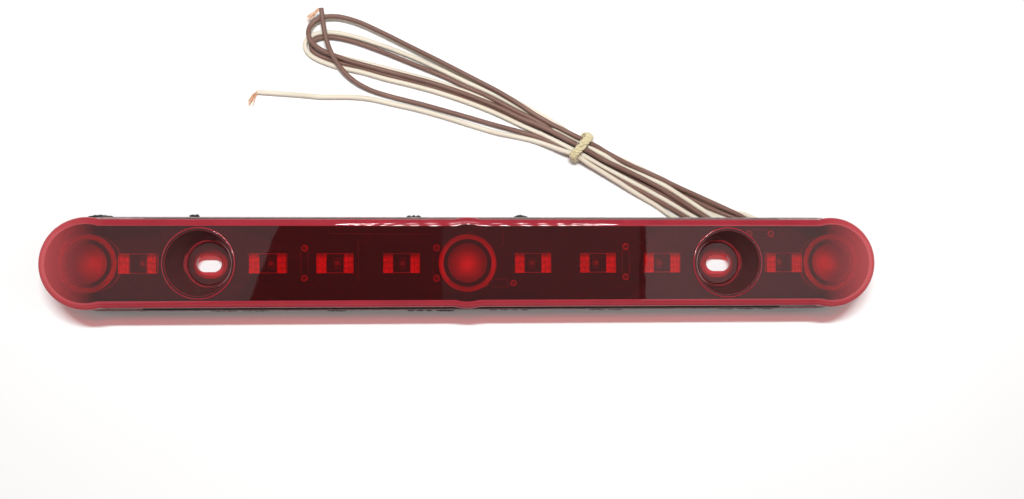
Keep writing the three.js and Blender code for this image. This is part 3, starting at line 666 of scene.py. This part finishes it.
# Turned sections as (radius, z).
WELL_BOSS = [(11.3, 4.5), (16.3, 26.2), (16.3, 26.7), (16.1, 26.98), (15.75, 27.1), (15.6, 27.1)]
WELL_BOWL = [(9.7, 6.5), (10.05, 6.85), (14.7, 26.9), (15.0, 27.3)]
TUBE = [(10.95, 15.6), (11.35, 15.2), (12.8, 15.2), (13.2, 15.6), (13.2, OPTIC_TOP), (10.95, OPTIC_TOP)]
CONDENSER_R, CONDENSER_DEPTH, CONDENSER_STEPS = 9, 3.4, 12
# Half of an oblong optic's section as (x, z), and how it is cut across.
BAR_SECTION = [(3.9, 22.2), (4.3, 18.9), (5.2, 18.4), (6.1, 19.2), (7.0, 18.4), (8.3, 19.8)]
BAR_HALF_Y, BAR_CUTS, BAR_FACET = 4.55, 7, 0.8
PRISM_Z, FROST_Z = 20, 20.8  # what lies below these is a facet, and is frosted
RIB_X, RIB_Y0, RIB_Y1, RIB_Z0, RIB_Z1 = 7.9, 4.15, 4.5, 19.7, 24.7
SLOT_LENGTH, SLOT_WIDTH = 11.6, 7.7


def lens_shell():
    """The lens without its optics and wells: a closed wall with an elliptical outer edge."""
    turns = [math.radians(90 * i / EDGE_STEPS) for i in range(EDGE_STEPS + 1)]
    edge = [(-EDGE_IN * (1 - math.cos(a)), FRONT_Z - EDGE_DOWN * (1 - math.sin(a))) for a in turns]
    stations = SHELL_INSIDE + edge + [(-EDGE_IN - 0.1, FRONT_Z)]
    rings = [[(x, y, z) for x, y in bar_outline(offset)] for offset, z in stations]
    slots = [CLEAR] * (len(rings) - 1)
    slots[4:-1] = [EDGE] * (len(slots) - 5)
    return Build().strip(rings, slots)


def add_tube(build, x):
    """A round optic: an open tube with a frosted rim, round a condenser."""
    build.turned(TUBE, x, slots=[FROST, FROST, FROST, CLEAR, CLEAR, CLEAR], closed=True)
    r = CONDENSER_R
    radii = [r * (i + 1) / CONDENSER_STEPS for i in range(CONDENSER_STEPS)]
    cap = [(at, INNER_Z - CONDENSER_DEPTH * (1 - (at / r) ** 2)) for at in radii]
    build.turned(cap + [(r, OPTIC_TOP)], x, slots=[HAZE] * len(cap))


def add_bar_optic(build, x):
    """An oblong optic: two faceted prism blocks and a plain web between them, with frosted sides."""
    last_x = BAR_SECTION[-1][0]
    left = [(-px, z) for px, z in reversed(BAR_SECTION)]
    profile = [(-last_x, OPTIC_TOP)] + left + BAR_SECTION + [(last_x, OPTIC_TOP)]
    rings = []
    for k in range(BAR_CUTS + 1):
        y = BAR_HALF_Y * (1 - 2 * k / BAR_CUTS)
        facet = BAR_FACET * (k % 2)
        rings.append([(x + px, y, z + facet * (z < PRISM_Z)) for px, z in profile])
    base = len(build.faces)
    build.strip(rings)
    for k in range(base, len(build.faces)):
        top = max(build.points[i][2] for i in build.faces[k])
        if len(build.faces[k]) > 4 or top < FROST_Z:
            build.slots[k] = FROST


def add_ribs(build, x):
    """The thin frosted ribs that join an oblong optic's two blocks, along its long edges."""
    for side in (-1, 1):
        y0, y1 = sorted((side * RIB_Y0, side * RIB_Y1))
        build.block(x - RIB_X, x + RIB_X, y0, y1, RIB_Z0, RIB_Z1)
    build.slots = [FROST] * len(build.faces)


def make_lens(*skins):
    """The whole red moulding: the shell with its optics and ribs joined on, and its wells cut out."""
    lens = lens_shell().object("lens_moulding", *skins)
    adds, ribs, bowls, slots = Build(), Build(), Build(), Build()
    for x in WELL_XS:
        adds.turned(WELL_BOSS, x, slots=[CLEAR, CLEAR, EDGE, EDGE, CLEAR])
        bowls.turned(WELL_BOWL, x, slots=[CLEAR, SMOKE, EDGE])
        slots.upright(stadium(SLOT_LENGTH, SLOT_WIDTH, x), 0, 9)
    for x in DRUM_XS:
        add_tube(adds, x)
    for x in OPTIC_XS:
        add_bar_optic(adds, x)
        add_ribs(ribs, x)
    steps = ((adds, "UNION"), (ribs, "UNION"), (bowls, "DIFFERENCE"), (slots, "DIFFERENCE"))
    for build, operation in steps:
        combine(lens, build.object("tool", *skins), operation)
    shade(lens, 35)
    finish_piece(lens, "lens", "lens")


def finish_piece(obj, slot, *nodes):
    """A piece on the lamp's one body that stands for these CAD nodes. Its slot is not used."""
    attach(obj, "root")
    if nodes:
        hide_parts(*nodes)


# ---- leads, strands and tie ----


LEAD_STEP = 2  # mm, between the points that settle
BROWN_TIP, WHITE_TIP = (-74.6, 115.8, 5.0), (-102.6, 75.6, 0.5)  # where the bare strands end


def make_leads(brown_skin, white_skin, metal, string):
    """Both leads with their bare strands, and the string that ties them."""
    lines = settle([resampled(BROWN_ROUTE, LEAD_STEP), resampled(WHITE_ROUTE, LEAD_STEP)], 2 * WIRE_R)
    brown_line, white_line = [rounded(line) for line in lines]
    brown = tube("brown_lead", brown_line, WIRE_R, brown_skin)
    white = tube("white_lead", white_line, WIRE_R, white_skin)
    finish_piece(brown, "brown_wire", "lead_hank", "brown_lead_end")
    finish_piece(white, "white_wire", "white_lead_end")
    brown_strands = make_strands("brown_fray", brown_line, BROWN_TIP, metal)
    white_strands = make_strands("white_fray", white_line, WHITE_TIP, metal)
    finish_piece(brown_strands, "copper", "brown_strands")
    finish_piece(white_strands, "copper", "white_strands")
    tie = make_tie(string)
    finish_piece(tie, "tie", "lead_tie")


STRANDS, STRAND_R = 16, 0.16
CORE_R = 0.62  # the strands start inside this radius
SPIRAL = 2.4  # radians from one strand to the next


def make_strands(name, line, tip, metal):
    """Bare strands that fan out from a lead's end towards tip."""
    end = Vector(line[-1])
    ahead = (end - Vector(line[-4])).normalized()
    tip = Vector(tip)
    build = Build()
    for k in range(STRANDS):
        a = k * SPIRAL
        r = CORE_R * math.sqrt((k + 0.5) / STRANDS)
        side = ahead.orthogonal().normalized()
        root = end + side * (r * math.cos(a)) + ahead.cross(side) * (r * math.sin(a)) - ahead * 0.6
        spread = Vector((rng.uniform(-1.5, 1.5), rng.uniform(-1.2, 1.8), rng.uniform(-0.5, 0.5)))
        bend = root + ahead * rng.uniform(1.2, 2.0) + spread * 0.25
        goal = tip + spread
        goal.z = max(goal.z, 0.3)
        path = [root.lerp(bend, t).lerp(bend.lerp(goal, t), t) for t in [i / 9 for i in range(10)]]
        build.sweep([tuple(p) for p in path], STRAND_R, sides=6)
    return build.object(name, metal, smooth=60)


TIE_MIDDLE_Z = 5.05
TIE_HALF_WIDTH, TIE_HALF_HEIGHT = 6.6, 3.75
TIE_POINTS, TIE_PLIES, TIE_TWISTS = 96, 3, 8
PLY_R = 0.78
FIBRES, FIBRE_R = 70, 0.1


def powered(value, power):
    """A value raised to a power, with its sign kept."""
    return abs(value) ** power * math.copysign(1, value)


def make_tie(string):
    """A band of twisted paper string round the leads, with loose fibres."""
    run = Vector((*TIE_RUN, 0))
    across = Vector((-TIE_RUN[1], TIE_RUN[0], 0))
    centre = Vector((*TIE_AT, TIE_MIDDLE_Z))
    band = []
    for k in range(TIE_POINTS):
        a = 2 * math.pi * k / TIE_POINTS
        high = Vector((0, 0, TIE_HALF_HEIGHT * powered(math.sin(a), 0.75)))
        band.append(centre + across * (TIE_HALF_WIDTH * powered(math.cos(a), 0.7)) + high)

    def ply_radius(along, around):
        return PLY_R + 0.10 * math.sin(37 * along + 5 * around) + rng.uniform(-0.05, 0.05)

    build = Build()
    for ply in range(TIE_PLIES):
        line = []
        for k in range(TIE_POINTS):
            t = (band[(k + 1) % TIE_POINTS] - band[k - 1]).normalized()
            out = (run - t * run.dot(t)).normalized()
            up = t.cross(out)
            turn = 2 * math.pi * (ply / TIE_PLIES + TIE_TWISTS * k / TIE_POINTS)
            a = 2 * math.pi * k / TIE_POINTS
            bow = run * (0.6 * math.cos(a) + 0.9 * math.sin(2 * a))
            wound = out * (1.35 * math.cos(turn)) + up * (0.45 * math.sin(turn))
            line.append(tuple(band[k] + bow + wound))
        build.sweep(line, ply_radius, sides=12, closed=True)
    for _ in range(FIBRES):
        root = band[rng.randrange(TIE_POINTS)] + run * rng.uniform(-2, 2)
        away = Vector((rng.uniform(-1, 1), rng.uniform(-1, 1), rng.uniform(-0.1, 1))).normalized()
        reach = rng.uniform(1.2, 2.4)
        path = [root + away * reach * s + across * (0.4 * s * s * rng.uniform(-1, 1))
                for s in (0, 0.35, 0.7, 1)]
        if min(p.z for p in path) > 0.2:
            build.sweep([tuple(p) for p in path], FIBRE_R, sides=5)
    return build.object("string_tie", string, smooth=70)


# ---- board details ----


RESISTORS_AT = ((-75.2, 0.1), (-14.4, 0.1), (74.3, 0.6))
DIODES_AT = ((14.9, -9.7, 13.2), (138.9, 13.9, 10.7))  # x, y and the distance between the joints
RESISTOR_SPAN = 14.2
BOARD_TOP = 13.6
INK_Z0, INK_Z1 = BOARD_TOP + 0.03, BOARD_TOP + 0.08
INK_WIDTH = 0.28
TRACK_EDGES = ((-50.5, -50.5, -9, 11), (-63, -16, 14.2, 14.2), (16.5, 16.5, 8, 15))  # x, x, y and y
PAD_RING = [(1.0, 13.62), (1.6, 13.62), (1.6, 13.68), (1.35, 13.74), (1.0, 13.72)]  # radius and z


def make_board_marks(ink):
    """Thin printed outlines and the wider tracks' edges on the board."""
    build = Build()

    def line(x0, x1, y0, y1, width=INK_WIDTH):
        h = width / 2
        build.block(x0 - h, x1 + h, y0 - h, y1 + h, INK_Z0, INK_Z1)

    for x, y in RESISTORS_AT:
        for side in (-1, 1):
            line(x + 1.7 * side, x + 1.7 * side, y - 5.2, y + 5.2)
            line(x - 1.1, x + 1.1, y + 5.5 * side, y + 5.5 * side)
    for x, y, _ in DIODES_AT:
        for side in (-1, 1):
            line(x - 3.5, x + 3.5, y + 1.9 * side, y + 1.9 * side)
            line(x + 3.8 * side, x + 3.8 * side, y - 1.6, y + 1.6)
    for edge in TRACK_EDGES:
        line(*edge)
    for x in OPTIC_XS:
        for side in (-1, 1):
            line(x - 1.2, x + 1.2, 2.3 * side, 2.3 * side, 0.5)
    finish_piece(build.object("board_marks", ink, smooth=20), "board")


def make_pads(tin):
    """A ring of bare, tinned copper round each solder joint."""
    joints = [(x, y + side * RESISTOR_SPAN / 2) for x, y in RESISTORS_AT for side in (-1, 1)]
    joints += [(x + side * span / 2, y) for x, y, span in DIODES_AT for side in (-1, 1)]
    build = Build()
    for x, y in joints:
        build.turned(PAD_RING, x, y, segments=32, closed=True)
    finish_piece(build.object("solder_pads", tin), "board")


# ---- sealant that was squeezed out ----

# From x to x along a side (1 is the upper one), how far it stands out, and into how many lumps it breaks.
SQUEEZED = ((-176, -162.5, 1, 0.9, 1), (-129.6, -125.2, 1, 1.2, 2), (-28.8, -22, 1, 0.9, 3),
            (22, 29.6, 1, 1.1, 1), (-66, -55, -1, 0.5, 1), (-28.5, -16, -1, 0.55, 3),
            (-15, -4.5, -1, 0.75, 1), (10, 30, -1, 0.3, 4), (58, 76, -1, 0.35, 2),
            (-120, -90, -1, 0.3, 2), (120, 150, -1, 0.35, 3))
LUMP_Y, LUMP_Z, LUMP_STEPS = 21.75, 4.6, 14
LUMP_SHARE = 0.84  # of a lump's place that it fills


def make_squeezed(skin):
    """Lumps of sealant that stand out from under the flange's edge."""
    build = Build()
    for x0, x1, side, reach, lumps in SQUEEZED:
        step = (x1 - x0) / lumps
        for k in range(lumps):
            a, b = x0 + k * step, x0 + (k + LUMP_SHARE) * step
            line = []
            for i in range(LUMP_STEPS + 1):
                y = side * (LUMP_Y + 0.1 * math.sin(2.1 * i))
                line.append((a + (b - a) * i / LUMP_STEPS, y, LUMP_Z))

            def size(along, around, reach=reach, k=k):
                swell = max(0.12, math.sin(math.pi * min(max(along, 0.02), 0.98)) ** 0.45)
                return (0.25 + reach * swell) * (1 + 0.12 * math.sin(9 * along + 3 * around + k))

            build.sweep(line, size, sides=14)
    finish_piece(build.object("squeezed_sealant", skin, smooth=60), "sealant")


# ---- stage ----

FLOOR_HALF, FLOOR_THICK, FLOOR_DROP = 2500, 4, 0.02  # mm
KEY_AT = (2, 300, 930)  # mm, the middle of the key light
GLINTS, GLINT_POWER = 44, 0.08
GLINT_R, GLINT_DEEP = 190, 180  # mm, the ring's half axes along X and Y
GLINT_TURN = 0.0136
GLINT_SIZE = (0.0068, 0.064)  # metres
WORLD_COLOUR, WORLD_STRENGTH = (1, 0.88, 0.85, 1), 0.12


def make_floor(material):
    """A plain sheet that the lamp stands on."""
    build = Build()
    outline = [(x * FLOOR_HALF, y * FLOOR_HALF) for x, y in ((-1, -1), (1, -1), (1, 1), (-1, 1))]
    build.upright(outline, -FLOOR_THICK, 0)
    floor = build.object("floor", material, smooth=20)
    floor.location.z = -FLOOR_DROP * MM


def area_light(name, place, aim, size, power, spin=0, seen=True, colour=(1, 1, 1)):
    """A soft box at a place in metres that faces aim and is turned by spin degrees.

    It may be left unseen in gloss and through clear plastic.
    """
    data = bpy.data.lights.new(name, "AREA")
    data.shape = "RECTANGLE"
    data.size, data.size_y = size
    data.energy = power
    data.color = colour
    obj = bpy.data.objects.new(name, data)
    obj.location = place
    turn = (Vector(aim) - Vector(place)).to_track_quat("-Z", "Y").to_matrix()
    obj.rotation_euler = (turn @ Matrix.Rotation(math.radians(spin), 3, "Z")).to_euler()
    obj.visible_camera = False
    obj.visible_glossy = obj.visible_transmission = seen
    bpy.context.scene.collection.objects.link(obj)
    return obj


def ring_glints():
    """A ring of small lamps round the key light, which show as sparks along the lens's upper edge."""
    for k in range(GLINTS):
        a = 2 * math.pi * k / GLINTS - GLINT_TURN
        x, y = KEY_AT[0] + GLINT_R * math.cos(a), KEY_AT[1] + GLINT_DEEP * math.sin(a)
        place = (x * MM, y * MM, KEY_AT[2] * MM)
        lamp = area_light(f"glint_{k}", place, (x * MM, y * MM, 0), GLINT_SIZE, GLINT_POWER)
        lamp.visible_diffuse = lamp.visible_transmission = False


def make_lights():
    """A key light behind the lamp that casts its shadow forwards, and soft fills that haze the lens."""
    world = bpy.data.worlds.new("world")
    world.use_nodes = True
    background = world.node_tree.nodes["Background"].inputs
    background["Color"].default_value = WORLD_COLOUR
    background["Strength"].default_value = WORLD_STRENGTH
    bpy.context.scene.world = world
    key = [c * MM for c in KEY_AT]
    area_light("key", key, (0, 0, 0), (0.34, 0.03), 9.6, seen=False)
    area_light("left", (-0.69, 0.0, 0.83), (-0.05, 0, 0), (0.55, 0.9), 1.0, spin=-22)
    area_light("right", (0.627, 0.0, 0.83), (0.05, 0, 0), (0.55, 0.9), 1.5)
    area_light("middle", (0.105, 0.0, 1.1), (0.105, 0, 0), (0.29, 0.7), 0.12)
    area_light("front", (0.0, -1.0, 0.9), (0, 0, 0), (1.4, 0.5), 1.2, colour=(1, 0.84, 0.80))
    ring_glints()


def main():
    """Builds everything: leads, lens, small pieces, the CAD nodes' looks and the stage."""
    make_camera()
    lens_skins = [
        # The clear red gets a painted pale haze of light at the lamp's two ends.
        red_plastic("clear_red", 0.035, 0.015, (0.50, 0.016, 0.032), ends=0.5),
        red_plastic("frosted_red", 0.86, 0.3, (0.85, 0.020, 0.050)),
        red_plastic("edge_red", 0.88, 0.006, (0.38, 0.030, 0.046), body_rough=0.015),
        # The hazy condensers get a painted glow at their middles.
        red_plastic("hazy_red", 0.10, 0.40, (0.90, 0.015, 0.040), painted_glow=0.95),
        red_plastic("smoky_red", 0.62, 0.02, (0.13, 0.050, 0.050), body_rough=0.10),
    ]
    make_leads(insulation("brown_pvc", (0.17, 0.090, 0.070), (0.23, 0.130, 0.104)),
               insulation("white_pvc", (0.70, 0.64, 0.52), (0.78, 0.72, 0.60)), copper(), paper_string())
    make_lens(*lens_skins)
    make_board_marks(board_ink())
    make_pads(tinned_pad())
    sealant_skin = sealant()
    make_squeezed(sealant_skin)
    skins = {
        "housing": black_plastic(),
        "seal_bead": sealant_skin,
        "circuit_board": solder_mask(),
        "lead_grommet": rubber(),
        "brown_inner_lead": bpy.data.materials["brown_pvc"],
        "white_inner_lead": bpy.data.materials["white_pvc"],
    }
    resistor = axial_part("resistor_coat", (0.52, 0.38, 0.20, 1), (0.30, 0.05, 0.02, 1), "Y")
    diode = axial_part("diode_coat", (0.02, 0.02, 0.022, 1), (0.45, 0.45, 0.44, 1), "X")
    led = led_package()
    for name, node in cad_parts.items():
        if "resistor" in name:
            skins[name] = resistor
        if "diode" in name:
            skins[name] = diode
        if "_led_" in name:
            skins[name] = led
    for name, skin in skins.items():
        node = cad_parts[name]
        node.data.materials.clear()
        node.data.materials.append(skin)
    make_floor(pale_floor())
    make_lights()
    view = bpy.context.scene.view_settings
    view.view_transform = "Standard"
    view.look = "None"


main()
